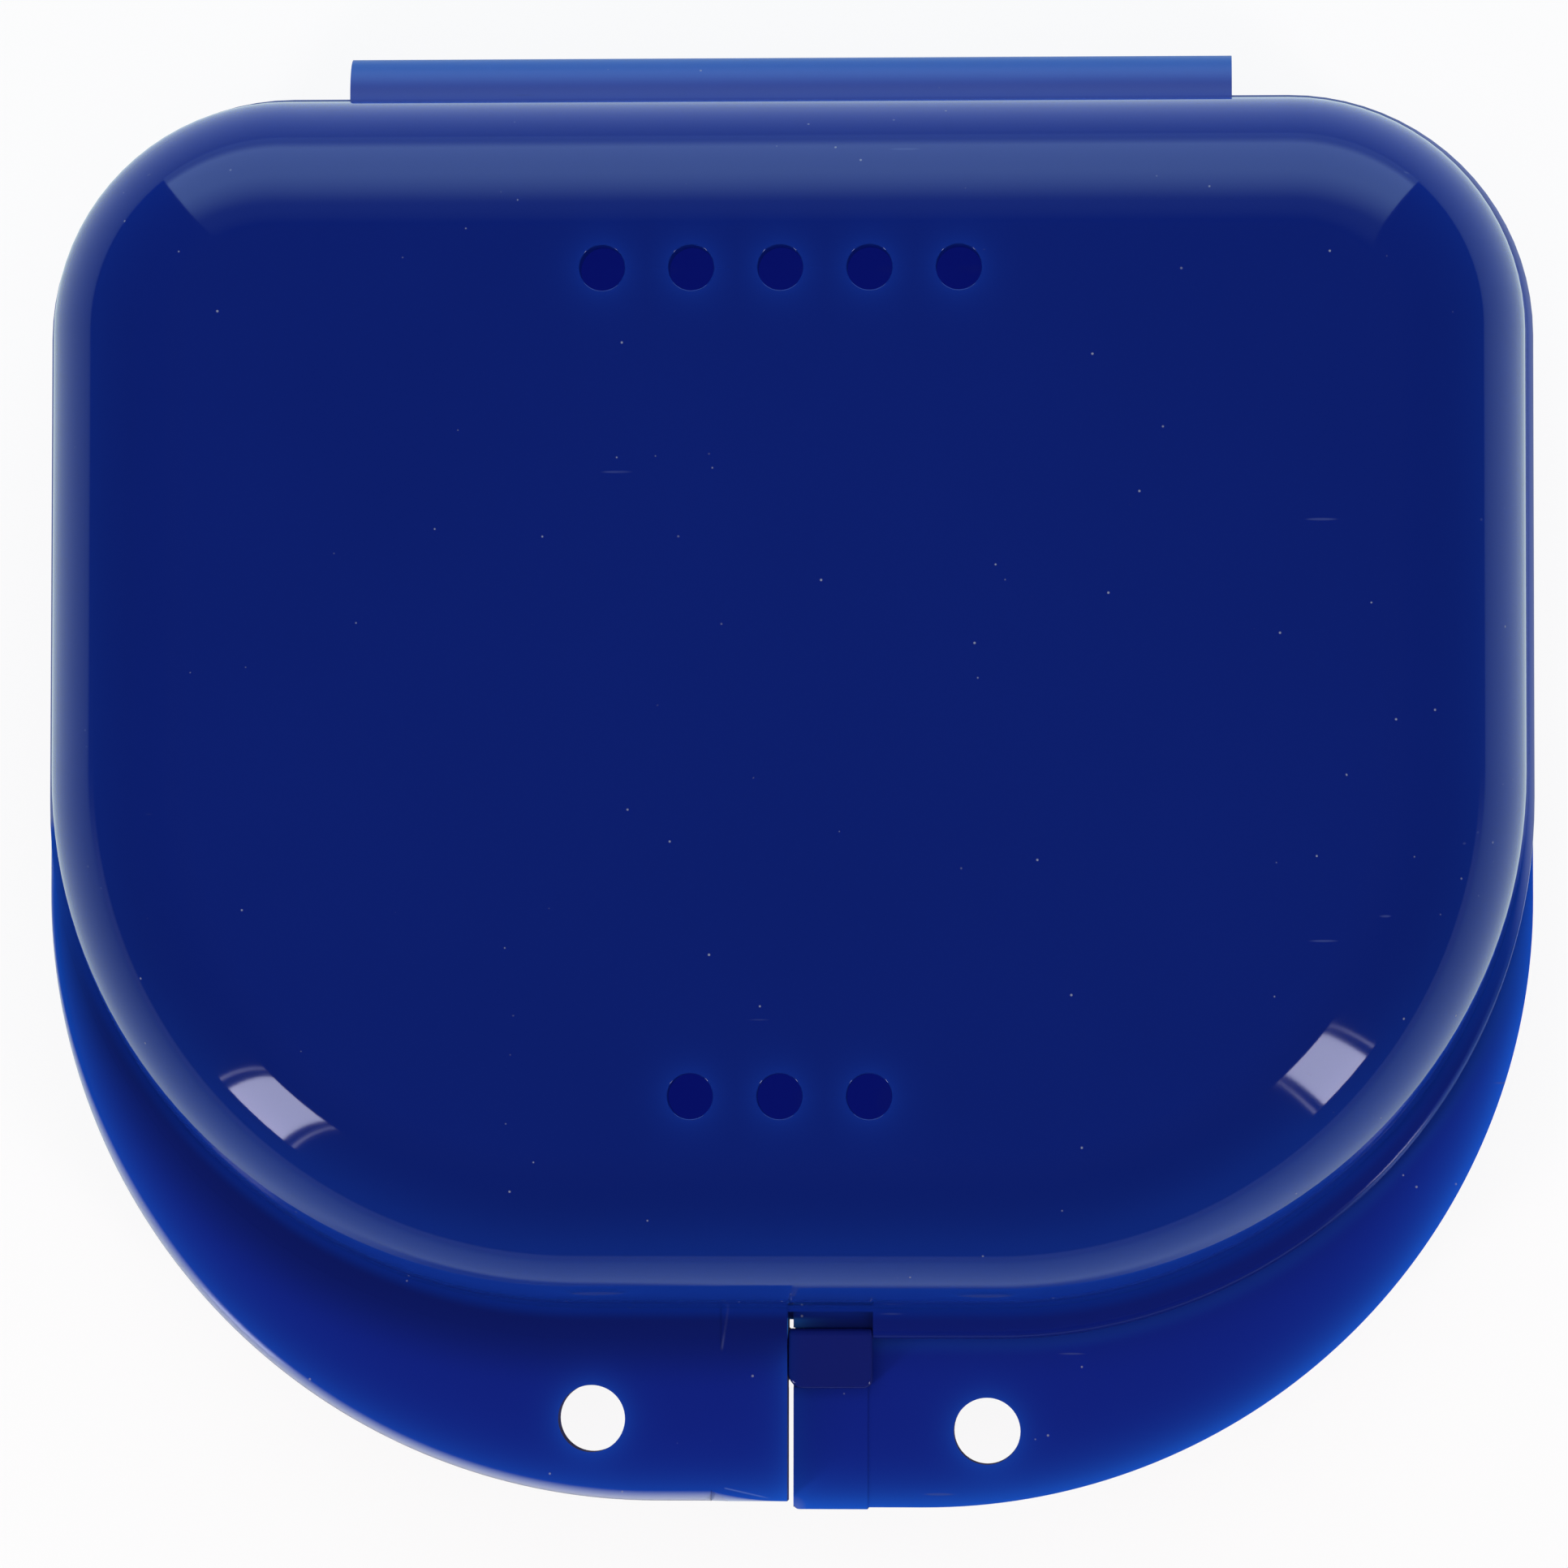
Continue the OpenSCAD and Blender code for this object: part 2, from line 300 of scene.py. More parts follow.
# rims: the ring round each half's mouth, with room at the front for the other half's catch
catch = {
    "width": 4.5, "depth": 3.2, "height": 2, "gap": 0.9, "over": 0.02,
    "farCorner": 0.5, "slitCorner": 0.8, "cornerSteps": 6, "ease": 0.18,
    "nib": 0.4, "lead": 0.25, "ledge": 0.7, "ledgeGap": 0.02, "clear": 0.15,
}
nibY = frontFoot - catch["gap"]
catchFront = nibY - catch["depth"]
rimFront = frontFoot - rim["frontOut"]
slitEnd = {"far": 0.2, "lid": {"near": 0.035, "short": 0}, "base": {"near": 0.26, "short": 0.45}}
rimSide = half["width"] / 2 + rim["sideOut"]
rimCorner = Vector((rimSide - half["frontCorner"], rimFront + half["frontCorner"]))
tailY = rimCorner.y - rim["tail"]  # where the tabs' sides end


def rimPlate(name, low, high):
    plate = outlineSheet(name, 0, low, rim["frontOut"], rim["sideOut"], half["frontCorner"])
    bpy.ops.mesh.extrude_region_move(TRANSFORM_OT_translate={"value": (0, 0, (high - low) * mm)})
    return plate


# the upper part of the rim's plate, drawn back step by step, most of all in front
def roundOver(high):
    rear = rearFoot + rim["sideOut"]
    last = (rimFront, high - rim["edge"])
    for i in range(rim["edgeSteps"]):
        a = math.pi / 2 * (i + 1) / rim["edgeSteps"]
        here = (rimFront + rim["edge"] * (1 - math.cos(a)), high - rim["edge"] * (1 - math.sin(a)))
        bpy.ops.mesh.extrude_region_move(TRANSFORM_OT_translate={"value": (0, 0, (here[1] - last[1]) * mm)})
        shorter = (rear - here[0]) / (rear - last[0])
        bpy.ops.transform.resize(value=(1, shorter, 1), center_override=(0, rear * mm, 0))
        last = here


def makeRim(name, slit):
    low = half["parting"]
    high = low + rim["height"]
    ring = rimPlate(name, low, high - rim["edge"])
    roundOver(high)
    closeSolid(ring)
    flush = closeSolid(rimPlate("flush", low, high))  # square again where the tab joins
    editPiece(flush)
    bpy.ops.mesh.select_all(action="SELECT")  # a little smaller, so that no faces coincide
    bpy.ops.transform.resize(value=rim["flush"], center_override=(0, 0, (low + high) / 2 * mm))
    for place, normal in (((0, 0, 0), (1, 0, 0)), ((0, rimCorner.y * mm, 0), (0, 1, 0))):
        bpy.ops.mesh.select_all(action="SELECT")
        bpy.ops.mesh.bisect(plane_co=place, plane_no=normal, use_fill=True, clear_outer=True)
    leaveEdit()
    combine(ring, flush, "UNION")
    plug = outlineSheet("plug", half["wall"] - beyond * lean, low - beyond)
    stepUp((rim["height"] + 2 * beyond) * lean, rim["height"] + 2 * beyond)
    combine(ring, closeSolid(plug))
    farX = catch["width"] + catch["ledgeGap"]
    ledgeY = nibY + catch["ledgeGap"]
    slitRear = frontFoot - slit["short"]
    front = rimFront - beyond
    for tool in (boxTool(-slit["near"], slitEnd["far"], front, slitRear, low - beyond, high + beyond),
                 boxTool(0, farX, front, ledgeY, low - beyond, high + beyond),
                 boxTool(0, farX, front, frontFoot, low + catch["ledge"], high + beyond)):
        combine(ring, tool)
    return ring


lidRim = makeRim("lidRim", slitEnd["lid"])
baseRim = makeRim("baseRim", slitEnd["base"])
for ring in (lidRim, baseRim):
    weld(ring, rim["weld"])
    finishEdges(ring)
turnOver(baseRim)
print("rims made:", len(lidRim.data.polygons), "faces each")

# finger tabs, each half's own at -X before the base's is turned over
tab = {
    "side": 40.0, "corner": 32.8, "cornerSteps": 72, "edge": 0.6, "edgeSteps": 6, "thick": 2, "slit": 0.35,
    "holeX": 10.6, "hole": 3.6, "strip": 4, "stripHigh": 0.12, "stripCorner": 0.3, "stripSteps": 4,
    "slantEnd": 0.6, "weld": 0.001, "spare": 2, "near": 0.01,
    "pad": (-3.6, -34.75, 0.1), "padIn": 0.005, "padBehind": 0.2,
    "lid": {"reach": 10.15, "holeReach": 5.75, "proud": 0, "slitSide": 0.075},
    "base": {"reach": 10.55, "holeReach": 6.45, "proud": 0.1, "slitSide": 0.175},
}
tabCornerX = tab["side"] - tab["corner"]


def makeTab(name, own):
    low = half["parting"]
    high = low + tab["thick"]
    front = frontFoot - own["reach"]
    cornerY = front + tab["corner"]
    stripX = tab["slit"] / 2 + tab["strip"]
    spare = tailY + tab["spare"]  # cut off again behind the tail
    plate = flatSheet(name, -tab["side"], -own["slitSide"], front, spare, low)
    roundCorners(plate, lambda p: p.y < front + tiny and p.x < -stripX, tab["corner"],
                 tab["cornerSteps"])
    bpy.ops.mesh.bisect(plane_co=(-stripX * mm, 0, 0), plane_no=(1, 0, 0))
    bpy.ops.mesh.select_mode(type="FACE")
    bpy.ops.mesh.select_all(action="SELECT")
    bpy.ops.mesh.extrude_region_move(TRANSFORM_OT_translate={"value": (0, 0, tab["thick"] * mm)})
    closeSolid(plate)

    def onOuterEdge(p):
        out = math.hypot(max(-p.x - tabCornerX, 0), max(cornerY - p.y, 0))
        return p.z > high - tiny and out > tab["corner"] - tab["near"] and p.x < -stripX + tiny

    editPiece(plate)
    pickEdges(plate, onOuterEdge)
    bpy.ops.mesh.bevel(offset=tab["edge"] * mm, segments=tab["edgeSteps"], profile=0.5, affect="EDGES")
    bpy.ops.mesh.select_all(action="SELECT")
    bpy.ops.mesh.bisect(plane_co=(0, tailY * mm, 0), plane_no=(0, 1, 0), use_fill=True, clear_outer=True)
    leaveEdit()
    combine(plate, boxTool(-stripX, -own["slitSide"], front - own["proud"], catchFront,
                           low - tab["stripHigh"], high - seam), "UNION")
    combine(plate, closeSolid(rimPlate("rimTool", low - beyond, high + beyond)))
    place = (-tab["holeX"], frontFoot - own["holeReach"])
    combine(plate, roundTool([place], tab["hole"], low - beyond, high + beyond))
    stripFront = front - own["proud"]
    run = tab["strip"] - tab["slantEnd"]
    slantRear = stripFront + tab["edge"]
    slant = boxTool(-stripX, 0, front - beyond, slantRear, high - tab["edge"], high + beyond)
    editPiece(slant)
    bpy.ops.mesh.select_all(action="SELECT")
    bpy.ops.mesh.bisect(plane_co=(-stripX * mm, slantRear * mm, high * mm),
                        plane_no=(-tab["edge"], -run, run), use_fill=True, clear_inner=True)
    leaveEdit()
    combine(plate, slant)
    if own["proud"]:
        editPiece(plate)
        pickEdges(plate, lambda p: abs(p.x + own["slitSide"]) < tiny and p.y < stripFront + tiny)
        bpy.ops.mesh.bevel(offset=tab["stripCorner"] * mm, segments=tab["stripSteps"], profile=0.5,
                           affect="EDGES")
        leaveEdit()
    padLeft, padFront, padHigh = tab["pad"]  # a thin raised panel beside the slit's inner end
    padRight = -own["slitSide"] - tab["padIn"]
    padRear = frontFoot + tab["padBehind"]
    combine(plate, boxTool(padLeft, padRight, padFront, padRear, high - seam, high + padHigh), "UNION")
    weld(plate, tab["weld"])
    finishEdges(plate)
    return plate


lidTab = makeTab("lidTab", tab["lid"])
baseTab = turnOver(makeTab("baseTab", tab["base"]))
print("tabs made:", len(lidTab.data.polygons), "and", len(baseTab.data.polygons), "faces")


# catches: a block under its own tab's parting face, undercut behind, with a chamfered nib
def makeCatch(name):
    high = half["parting"]
    low = high - catch["height"]
    block = boxTool(-catch["width"], catch["over"], catchFront, nibY, low, high)
    block.name = name
    editPiece(block)
    nibTop = high - catch["ledge"] - catch["clear"]
    for z in (nibTop, nibTop - catch["nib"]):
        bpy.ops.mesh.select_all(action="SELECT")
        bpy.ops.mesh.bisect(plane_co=(0, 0, z * mm), plane_no=(0, 0, 1))
    pickVerts(block, lambda p: p.y > nibY - tiny and p.z > nibTop - tiny)
    moveBy(0, -catch["nib"], 0)
    pickEdges(block, lambda p: p.y > nibY - tiny and p.z < low + tiny)
    bpy.ops.mesh.bevel(offset=catch["lead"] * mm, segments=1, affect="EDGES")
    for sideX, corner in ((-catch["width"], catch["farCorner"]), (catch["over"], catch["slitCorner"])):
        pickEdges(block, lambda p: p.y < catchFront + tiny and abs(p.x - sideX) < tiny)
        bpy.ops.mesh.bevel(offset=corner * mm, segments=catch["cornerSteps"], profile=0.5, affect="EDGES")
    leaveEdit()
    finishEdges(block, catch["ease"])
    return block


lidCatch = makeCatch("lidCatch")
baseCatch = turnOver(copyPiece(lidCatch, "baseCatch"))

# folding strap: a thin band in two pieces that meet half way round the bend
strap = {"width": 47.7, "thick": 0.5, "leg": 0.4, "bendSteps": 24}
strapStart = rearFoot + rim["sideOut"]
bendY = strapStart + strap["leg"]
bendR = rim["height"] - strap["thick"] / 2


def makeBand(name):
    level = half["parting"] + bendR
    w = strap["width"] / 2
    band = flatSheet(name, -w, w, strapStart, bendY, level)
    pickVerts(band, lambda p: p.y > bendY - tiny)
    bpy.ops.mesh.spin(steps=strap["bendSteps"], angle=math.pi / 2, axis=(1, 0, 0),
                      center=(0, bendY * mm, half["parting"] * mm))
    bpy.ops.mesh.select_all(action="SELECT")
    bpy.ops.mesh.remove_doubles(threshold=seam * mm)
    bpy.ops.mesh.normals_make_consistent(inside=False)
    leaveEdit()
    applyModifier(band, "SOLIDIFY", thickness=strap["thick"] * mm, offset=0, use_even_offset=True)
    focus(band)
    bpy.ops.object.shade_smooth_by_angle(angle=math.radians(smoothAngle))
    return band


lidBand = makeBand("lidBand")
baseBand = turnOver(copyPiece(lidBand, "baseBand"))
print("catches and strap made")


# wraps a shader socket, so that maths on values is written as Python
class Wire:
    def __init__(self, tree, socket=None):
        self.tree = tree
        self.socket = socket

    def add(self, kind, settings=None, sockets=None, out=0):
        made = self.tree.nodes.new("ShaderNode" + kind)
        for key, value in (settings or {}).items():
            setattr(made, key, value)
        for key, value in (sockets or {}).items():
            self.feed(made.inputs[key], value)
        return Wire(self.tree, made.outputs[out])

    def feed(self, target, value):
        if isinstance(value, Wire):
            self.tree.links.new(value.socket, target)
        else:
            target.default_value = value

    def maths(self, operation, first, second=0.0):
        return self.add("Math", {"operation": operation}, {0: first, 1: second})

    def __add__(self, other):
        return self.maths("ADD", self, other)

    def __radd__(self, other):
        return self.maths("ADD", other, self)

    def __sub__(self, other):
        return self.maths("SUBTRACT", self, other)

    def __rsub__(self, other):
        return self.maths("SUBTRACT", other, self)

    def __mul__(self, other):
        return self.maths("MULTIPLY", self, other)

    def __truediv__(self, other):
        return self.maths("DIVIDE", self, other)

    def __rtruediv__(self, other):
        return self.maths("DIVIDE", other, self)

    def __pow__(self, other):
        return self.maths("POWER", self, other)

    def most(self, other):
        return self.maths("MAXIMUM", self, other)

    def least(self, other):
        return self.maths("MINIMUM", self, other)

    def size(self):
        return self.maths("ABSOLUTE", self)

    def sign(self):
        return self.maths("SIGN", self)

    def fade(self, depth):  # 1 at nothing, falling off with depth
        return self.maths("EXPONENT", self * (-1 / depth))

    def between(self, low, high):  # 0 at low, 1 at high, smooth
        return self.add("MapRange", {"interpolation_type": "SMOOTHSTEP"},
                        {"Value": self, "From Min": low, "From Max": high})

    def tint(self, first, second):  # this value mixes two colours
        return self.add("Mix", {"data_type": "RGBA"}, {0: self, 6: first, 7: second}, out=2)


def paint(red, green, blue):
    return (red, green, blue, 1)


# what every blue finish shares: faint mottling, dust, hairline scratches and a slight waviness
finish = {
    "mottleScale": 38, "mottleDetail": 3.0, "mottle": 0.07, "roughness": 0.045, "roughSpread": 0.02,
    "dustScale": 900, "dustSize": 0.075, "dustChoice": 0.4, "dustShare": 0.6, "dustRough": 0.3,
    "dust": paint(0.30, 0.33, 0.42), "chosen": (0.60, 0.64),
    "hairScale": (75, 900, 900), "hairTurn": 0.62, "hairChoice": 0.3, "hairShare": 0.4, "hairRough": 0.1,
    "hair": paint(0.06, 0.09, 0.28),
    "waveScale": 120, "waveDetail": 1.0, "wave": 0.02, "waveDepth": 0.0003,
    "ior": 1.49, "mirror": 0.5, "mirrorTint": paint(0.6, 0.78, 1.0),
    "flangeRough": 0.11, "flangeMirror": 0.25, "strapRough": 0.4,
}


# small marks round scattered points, only where a second pattern lets them be
def scattered(graph, spot, scale, size, choice):
    near = graph.add("TexVoronoi", sockets={"Vector": spot, "Scale": scale}, out="Distance")
    chosen = graph.add("TexNoise", sockets={"Vector": spot, "Scale": scale * choice, "Detail": 0.0})
    return near.between(size, size / 2) * chosen.between(*finish["chosen"])


# a blue plastic, whose colour carries layers of painted light and shade, most of them where light comes
# through
def bluePlastic(name, deep, layers=(), within=None, roughness=finish["roughness"], mirror=finish["mirror"]):
    made = bpy.data.materials.new(name)
    made.use_nodes = True
    tree = made.node_tree
    shader = tree.nodes["Principled BSDF"]
    graph = Wire(tree)
    spot = graph.add("TexCoord", out="Object")
    mottle = graph.add("TexNoise", sockets={"Vector": spot, "Scale": finish["mottleScale"],
                                            "Detail": finish["mottleDetail"]})
    spread = finish["mottle"]
    colour = mottle.tint(paint(*[c * (1 - spread) for c in deep]), paint(*[c * (1 + spread) for c in deep]))
    for place, light in layers:
        colour = place(graph, spot).tint(colour, paint(*light))
    stretched = graph.add("Mapping", sockets={"Vector": spot, "Rotation": (0, 0, finish["hairTurn"]),
                                              "Scale": finish["hairScale"]})
    hair = scattered(graph, stretched, 1.0, finish["dustSize"], finish["hairChoice"])
    colour = (hair * finish["hairShare"]).tint(colour, finish["hair"])
    dust = scattered(graph, spot, finish["dustScale"], finish["dustSize"], finish["dustChoice"])
    colour = (dust * finish["dustShare"]).tint(colour, finish["dust"])
    rough = (mottle - 0.5) * finish["roughSpread"] + roughness
    rough = rough + hair * finish["hairRough"] + dust * finish["dustRough"]
    wave = graph.add("TexNoise", sockets={"Vector": spot, "Scale": finish["waveScale"],
                                          "Detail": finish["waveDetail"]})
    bump = graph.add("Bump", sockets={"Strength": finish["wave"], "Distance": finish["waveDepth"],
                                      "Height": wave})
    graph.feed(shader.inputs["Base Color"], colour)
    graph.feed(shader.inputs["Roughness"], rough)
    graph.feed(shader.inputs["Normal"], bump)
    shader.inputs["IOR"].default_value = finish["ior"]
    shader.inputs["Specular IOR Level"].default_value = mirror
    shader.inputs["Specular Tint"].default_value = finish["mirrorTint"]
    # the emission is a painted glow, for light that comes through the wall
    if within:  # light that comes through the wall
        shader.inputs["Emission Color"].default_value = paint(*within)
        shader.inputs["Emission Strength"].default_value = 1.0
    return made


# painted light and shade, most of it light inside the plastic: depths and places in mm, shares, and the z,
# y or distance where each fades
lit = {
    "edge": 0.87, "edgeShare": 0.93, "edgeSide": 0.07, "hole": 0.6, "holeShare": 0.35,
    "slit": 0.6, "slitShare": 0.35, "slitFade": (0.5, 2),
    "thinEdge": 0.55, "thinRise": (-11.0, -29.0), "thinTail": 0.22, "thinFade": 9.0,
    "glint": 0.06, "glintShare": 0.4, "glintSlope": 0.225, "glintStart": 0.076,
    "glintHigh": (1.5, 1.9), "glintFrom": (0.9, 1.6), "glintTo": (3.5, 3.35),
    "corner": 0.75, "cornerShare": 0.45, "cornerFrom": (0.1, 0.15), "cornerFade": 1,
    "wallTop": 13.1, "wallFoot": 6.5, "front": (-12.0, -24.0), "frontRise": (13.0, 11.3), "frontShare": 0.2,
    "foot": 0.75, "baseSide": (0.0, 0.1), "ridge": (1.05, 0.25), "ridgeShare": 0.8,
    "ridgeEdgeLight": 0.32, "ridgeEdgeLightShare": 0.45, "ridgeFront": 0.1,
    "ridgeFrom": (-29.0, -24.0), "ridgeTo": (-8.0, -20.0),
    "recess": 0.7, "recessShare": 0.9, "recessRear": (0.25, 0.5),
    "shade": (3.0, -0.3), "tabRoot": 0.3, "rimRoot": 0.7,
    "rimEdge": 0.5, "rimUpper": (0.25, 0.05), "rimStart": 3.5, "rimFull": 1,
    "panel": 0.10, "panelShare": 0.16, "panelSlope": 0.16,
    "panelStart": (-0.1, 0.2), "panelFade": (1.1, 0.3), "panelFaint": 0.3,
    "vent": 0.7, "ventShare": 0.32, "ventRise": 1, "catchSide": 0.35, "catchShare": 0.8,
    "strapSide": 0.2, "strapRootLight": (1, 0.3), "strapFootLight": (0.4, -0.3), "strapTop": 0.3,
}


def axisOf(graph, spot, axis):
    return graph.add("SeparateXYZ", sockets={"Vector": spot}, out=axis)


def planOf(graph, spot):  # x and y in mm
    return axisOf(graph, spot, "X") / mm, axisOf(graph, spot, "Y") / mm


def heightOf(graph, spot):  # above or below the parting face, in mm
    return (axisOf(graph, spot, "Z") / mm - half["parting"]).size()


def span(across, along):
    return (across * across + along * along) ** 0.5


# distance outwards and inwards from a tab's outline, in mm
def pastTab(graph, spot):
    x, y = planOf(graph, spot)
    lidReach, baseReach = tab["lid"]["reach"], tab["base"]["reach"]
    front = frontFoot - (lidReach + baseReach) / 2 - x.sign() * ((baseReach - lidReach) / 2)
    out = (x.size() - tabCornerX).most(0.0)
    ahead = (front + tab["corner"] - y).most(0.0)
    return span(out, ahead) - tab["corner"]


def insideTab(graph, spot):
    return (0.0 - pastTab(graph, spot)).most(0.0)


def tabEdgeLight(graph, spot):
    x, y = planOf(graph, spot)
    edge = insideTab(graph, spot).fade(lit["edge"]) * (lit["edgeShare"] + x.sign() * lit["edgeSide"])
    lidHole, baseHole = tab["lid"]["holeReach"], tab["base"]["holeReach"]
    overX = x.size() - tab["holeX"]
    overY = y - frontFoot + (lidHole + baseHole) / 2 + x.sign() * ((baseHole - lidHole) / 2)
    offHole = (span(overX, overY) - tab["hole"] / 2).most(0.0)
    hole = offHole.fade(lit["hole"]) * lit["holeShare"]
    behind, ahead = lit["slitFade"]
    slit = x.size().fade(lit["slit"]) * y.between(rimFront + behind, rimFront - ahead) * lit["slitShare"]
    return (edge + hole + slit).least(1.0)


# the rounded edge is so thin that white light comes through, less and less towards the slit
def thinEdgeLight(graph, spot):
    across = ((axisOf(graph, spot, "X") / mm).size() / (tab["slit"] / 2 + tab["strip"])).least(1.0)
    y = axisOf(graph, spot, "Y") / mm
    rise = y.between(*lit["thinRise"])
    reach = across ** 2.0 * (lit["thinTail"] + rise * (1 - lit["thinTail"])) * lit["thinEdge"]
    thin = (1 - insideTab(graph, spot) / reach).most(0.0)
    height = heightOf(graph, spot)
    upper = height.between(tab["thick"] / 2, tab["thick"] - tab["edge"])
    return thin * upper * y.between(tailY, tailY - lit["thinFade"])


# a painted highlight: a bright line along the top of the slanting edge beside the slit
def slantHighlight(graph, spot):
    across = (axisOf(graph, spot, "X") / mm).size()
    height = heightOf(graph, spot)
    line = insideTab(graph, spot) - (across * lit["glintSlope"] - lit["glintStart"])
    glint = (1 - line.size() / lit["glint"]).most(0.0) * height.between(*lit["glintHigh"])
    glint = glint * across.between(*lit["glintFrom"]) * across.between(*lit["glintTo"])
    return glint * lit["glintShare"]


# light in the rounded corner of the base's strip
def cornerLight(graph, spot):
    x, y, z = [axisOf(graph, spot, axis) / mm for axis in "XYZ"]
    own = tab["base"]
    overX = x - own["slitSide"]
    overY = y - frontFoot + own["reach"] + own["proud"]
    near = (1 - span(overX, overY) / lit["corner"]).most(0.0)
    upper = z.between(half["parting"] - lit["cornerFade"], half["parting"])
    return near * x.between(*lit["cornerFrom"]) * upper * lit["cornerShare"]


def wallLight(graph, spot):
    height = heightOf(graph, spot)
    front = (axisOf(graph, spot, "Y") / mm).between(*lit["front"]) * height.between(*lit["frontRise"])
    return (height.between(lit["wallTop"], lit["wallFoot"]) + front * lit["frontShare"]).least(1.0)


# the soft corner between wall and flange takes up light from the wall
def footLight(graph, spot):
    x, y = planOf(graph, spot)
    out = (x.size() - (half["width"] / 2 - half["frontCorner"])).most(0.0)
    ahead = (frontFoot + half["frontCorner"] - y).most(0.0)
    past = span(out, ahead) - (half["frontCorner"] - rim["height"] * lean)
    return past.between(lit["foot"], 0.0) * y.between(tailY, tailY - lit["thinFade"])


# the base's tab is lighter along the lid's rim
def ridgeGlow(graph, spot):
    x = axisOf(graph, spot, "X") / mm
    return outOfRim(graph, spot).between(*lit["ridge"]) * x.between(*lit["baseSide"]) * lit["ridgeShare"]


# light that falls through the slit's inner end into the room for the catch
def recessLight(graph, spot):
    across = (axisOf(graph, spot, "X") / mm).size().fade(lit["recess"])
    y = axisOf(graph, spot, "Y") / mm
    start, full = lit["recessRear"]
    rear = y.between(frontFoot - start, frontFoot - full)
    return across * rear * y.between(rimFront, nibY) * lit["recessShare"]


# distance outwards from the rim's outline, in mm, below nothing inside it
def outOfRim(graph, spot):
    x, y = planOf(graph, spot)
    frontOut = (x.size() - rimCorner.x).most(0.0)
    frontOn = (rimCorner.y - y).most(0.0)
    rearR = half["rearCorner"] + rim["sideOut"]
    rearOut = (x.size() - (rimSide - rearR)).most(0.0)
    rearOn = (y - (strapStart - rearR)).most(0.0)
    front = span(frontOut, frontOn) - half["frontCorner"]
    return front.most(span(rearOut, rearOn) - rearR)


# rim and tabs are darker beside the wall, on the lid's side more than on the base's
def rootShade(baseShare):
    def shade(graph, spot):
        share = (1 + baseShare) / 2 - axisOf(graph, spot, "X").sign() * ((1 - baseShare) / 2)
        return outOfRim(graph, spot).between(*lit["shade"]) * share
    return shade


# some light comes through the rim's upper edge at the sides and the rear, beside the strap
def rimEdgeLight(graph, spot):
    x, y, z = [axisOf(graph, spot, axis) / mm for axis in "XYZ"]
    near = (1 + outOfRim(graph, spot) / lit["rimEdge"]).most(0.0).least(1.0)
    below, full = lit["rimUpper"]
    upper = (z - half["parting"]).between(rim["height"] - below, rim["height"] - full)
    start = tailY - lit["rimStart"] - x.sign() * lit["rimStart"]  # further forward over the base's tab
    return near * upper * y.between(start, tailY + lit["rimFull"]) * (1 - strapRootLight(graph, spot))


# and painted light for light that comes through the rim's upper edge along the ridge over the base's tab
def ridgeEdgeLight(graph, spot):
    x, y = planOf(graph, spot)
    near = (1 + outOfRim(graph, spot) / lit["ridgeEdgeLight"]).most(0.0).least(1.0)
    along = lit["ridgeFront"] + y.between(*lit["ridgeFrom"]) * (1 - lit["ridgeFront"])
    return near * x.between(*lit["baseSide"]) * along * y.between(*lit["ridgeTo"]) * lit["ridgeEdgeLightShare"]


# painted light on the rim where the strap joins it, in the strap's lighter colour
def strapRootLight(graph, spot):
    x, y = planOf(graph, spot)
    w = strap["width"] / 2
    soft = lit["strapSide"]
    start, full = lit["strapRootLight"]
    return x.size().between(w + soft, w - soft) * y.between(rearFoot - start, rearFoot - full)


# a faint painted highlight along the side of the raised panel over the lid's catch
def panelHighlight(graph, spot):
    left, front = tab["pad"][:2]
    x, y = planOf(graph, spot)
    along = y - front
    line = (1 - (x - left - along * lit["panelSlope"]).size() / lit["panel"]).most(0.0)
    level = lit["panelFaint"] + along.between(*lit["panelFade"]) * (1 - lit["panelFaint"])
    return line * along.between(*lit["panelStart"]) * level * lit["panelShare"]


# some light comes through the crown round the vents
def ventGlow(graph, spot):
    x, y, z = [axisOf(graph, spot, axis) / mm for axis in "XYZ"]
    glow = 0.0
    for count, rowY in (vents["rearRow"], vents["frontRow"]):
        last = (count - 1) / 2
        nearest = graph.maths("ROUND", x / vents["pitch"]).least(last).most(-last)
        overX, overY = x - nearest * vents["pitch"], y - rowY
        past = (span(overX, overY) - vents["diameter"] / 2).most(0.0)
        glow = past.fade(lit["vent"]) + glow
    return glow * z.between(half["parting"], half["parting"] + lit["ventRise"]) * lit["ventShare"]


def catchSideLight(graph, spot):
    return (axisOf(graph, spot, "X") / mm).size().fade(lit["catchSide"]) * lit["catchShare"]


# painted light: the strap is lighter again where it leaves the rim
def strapFootLight(graph, spot):
    start, full = lit["strapFootLight"]
    return (axisOf(graph, spot, "Y") / mm).between(bendY + start, bendY + full)


def strapLight(graph, spot):
    return (axisOf(graph, spot, "Y") / mm).between(bendY, bendY + rim["height"] + lit["strapTop"])


